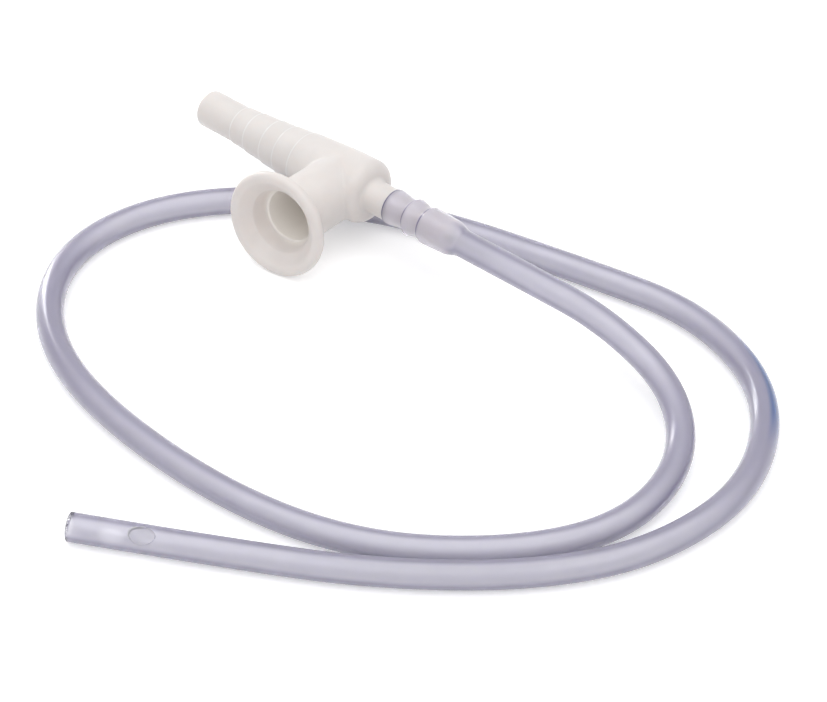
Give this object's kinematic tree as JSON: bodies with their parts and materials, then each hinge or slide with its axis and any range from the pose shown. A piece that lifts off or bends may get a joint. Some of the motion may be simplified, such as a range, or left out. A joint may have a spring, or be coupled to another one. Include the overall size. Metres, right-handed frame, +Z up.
{
  "type": "suction catheter",
  "caption": "Curled soft suction catheter: a hollow tube with an open tip and side eyes, pushed over the barbed nipple of a moulded valve with a stepped nozzle and a bell-mouthed thumb port.",
  "frame": {"origin": "on the table, below the middle of the valve's footprint, the tube left out", "axes": "+X from the suction nozzle towards the tube along the valve's main axis, -Y the way the thumb port faces, +Z up from the table that the part lies on"},
  "size_m": [0.1324, 0.1112, 0.019],
  "materials": {
    "moulded_valve": "satin ivory white, slightly translucent at thin edges",
    "soft_tube": "soft translucent pale lavender grey, smooth, with one plain blue field on the bend"
  },
  "bodies": {
    "root": {"valve_body": "moulded_valve", "catheter_tube": "soft_tube"}
  },
  "joints": []
}
